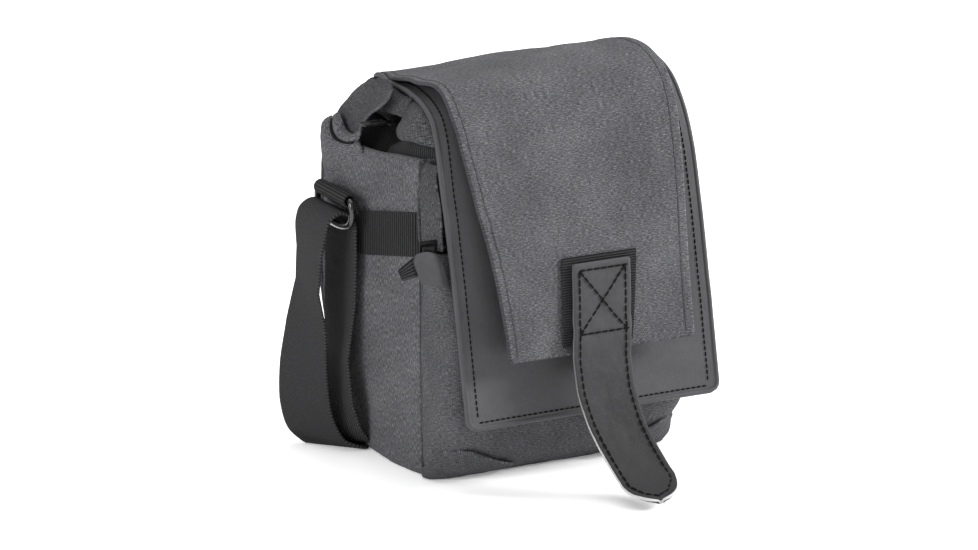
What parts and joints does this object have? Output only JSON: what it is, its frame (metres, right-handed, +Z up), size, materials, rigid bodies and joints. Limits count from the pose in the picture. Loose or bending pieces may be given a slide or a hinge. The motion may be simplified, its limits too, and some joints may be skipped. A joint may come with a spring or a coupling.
{
  "type": "camera bag",
  "caption": "Small canvas shoulder bag for a camera: padded box body, front pocket, leather under-flap, canvas over-flap with a leather pull tab, webbing strap on D-rings.",
  "frame": {"origin": "on the floor under the middle of the base panel", "axes": "+Z up, -Y out of the front of the bag, +X to the right as seen from the front"},
  "size_m": [0.2396, 0.2713, 0.2367],
  "materials": {
    "canvas": "washed grey canvas, fine plain weave with lighter flecks",
    "under_flap_leather": "smooth dark grey leather with a soft sheen",
    "tab_leather": "near-black grained leather with a pale raw edge",
    "grosgrain": "black ribbed grosgrain tape",
    "strap_webbing": "black twill webbing",
    "black_metal": "gloss black metal",
    "insert_lining": "brushed grey lining over foam",
    "base_board": "black stiffening board",
    "zip_tape": "black woven tape",
    "zip_coil": "black nylon coil"
  },
  "bodies": {
    "bag": {"base_panel": "canvas", "base_board": "base_board", "floor_pad": "insert_lining", "side_panel_left": "canvas", "side_panel_right": "canvas", "back_panel": "canvas", "front_panel": "canvas", "pad_back": "insert_lining", "pad_front": "insert_lining", "pad_left": "insert_lining", "pad_right": "insert_lining", "collar_left": "canvas", "collar_right": "canvas", "top_panel_front": "canvas", "top_panel_rear": "canvas", "main_zip_tape": "zip_tape", "main_zip_chain": "zip_coil", "pocket_shell": "canvas", "pocket_top_panel": "canvas", "pocket_zip_tape": "zip_tape", "pocket_zip_chain": "zip_coil", "flap_hem": "canvas", "loop_patch": "zip_tape", "side_band_left": "grosgrain", "ring_tab_left": "grosgrain", "side_band_right": "grosgrain", "ring_tab_right": "grosgrain", "strap_webbing": "strap_webbing"},
    "zip_slider_main": {"main_zip_slider": "black_metal"},
    "zip_pull_main": {"main_zip_pull": "black_metal"},
    "zip_slider_pocket": {"pocket_zip_slider": "black_metal"},
    "zip_pull_pocket": {"pocket_zip_pull": "tab_leather"},
    "divider": {"divider": "insert_lining"},
    "ring_left": {"d_ring_left": "black_metal"},
    "ring_right": {"d_ring_right": "black_metal"},
    "slider": {"strap_slider": "black_metal"},
    "under_flap": {"leather_flap": "under_flap_leather", "hook_patch": "zip_tape"},
    "top_flap": {"canvas_flap": "canvas", "tab_patch": "grosgrain", "tab_base": "tab_leather"},
    "tab_tail": {"pull_tab": "tab_leather"}
  },
  "joints": [
    {"name": "under_flap_hinge", "type": "hinge", "parent": "bag", "child": "under_flap", "pos_m": [0, 0.07, 0.2135], "axis": [-1, 0, 0], "range_deg": [0, 115]},
    {"name": "top_flap_lift", "type": "hinge", "parent": "under_flap", "child": "top_flap", "pos_m": [0, 0.068, 0.2155], "axis": [-1, 0, 0], "range_deg": [0, 40]},
    {"name": "tab_tail_bend", "type": "hinge", "parent": "top_flap", "child": "tab_tail", "pos_m": [0.01, -0.0936, 0.0935], "axis": [-1, 0, 0], "range_deg": [0, 60]},
    {"name": "main_zip_slide", "type": "slide", "parent": "bag", "child": "zip_slider_main", "axis": [1, 0, 0], "range_m": [0, 0.14]},
    {"name": "main_zip_pull_flip", "type": "hinge", "parent": "zip_slider_main", "child": "zip_pull_main", "pos_m": [-0.0781, 0.009, 0.2026], "axis": [0, 1, 0], "range_deg": [0, 60]},
    {"name": "pocket_zip_slide", "type": "slide", "parent": "bag", "child": "zip_slider_pocket", "axis": [1, 0, 0], "range_m": [0, 0.14]},
    {"name": "pocket_zip_pull_flip", "type": "hinge", "parent": "zip_slider_pocket", "child": "zip_pull_pocket", "pos_m": [-0.0852, -0.0599, 0.1425], "axis": [-1, 0, 0], "range_deg": [0, 80]},
    {"name": "divider_lift", "type": "slide", "parent": "bag", "child": "divider", "axis": [0, 0, 1], "range_m": [0, 0.06]},
    {"name": "ring_left_swing", "type": "hinge", "parent": "bag", "child": "ring_left", "pos_m": [-0.102, 0.028, 0.158], "axis": [0, 1, 0], "range_deg": [0, 90], "deforming": ["strap_webbing"]},
    {"name": "ring_right_swing", "type": "hinge", "parent": "bag", "child": "ring_right", "pos_m": [0.102, 0.028, 0.158], "axis": [0, -1, 0], "range_deg": [0, 90], "deforming": ["strap_webbing"]},
    {"name": "strap_slider_slide", "type": "slide", "parent": "bag", "child": "slider", "axis": [0, 0, 1], "range_m": [-0.012, 0.012], "deforming": ["strap_webbing"]}
  ]
}
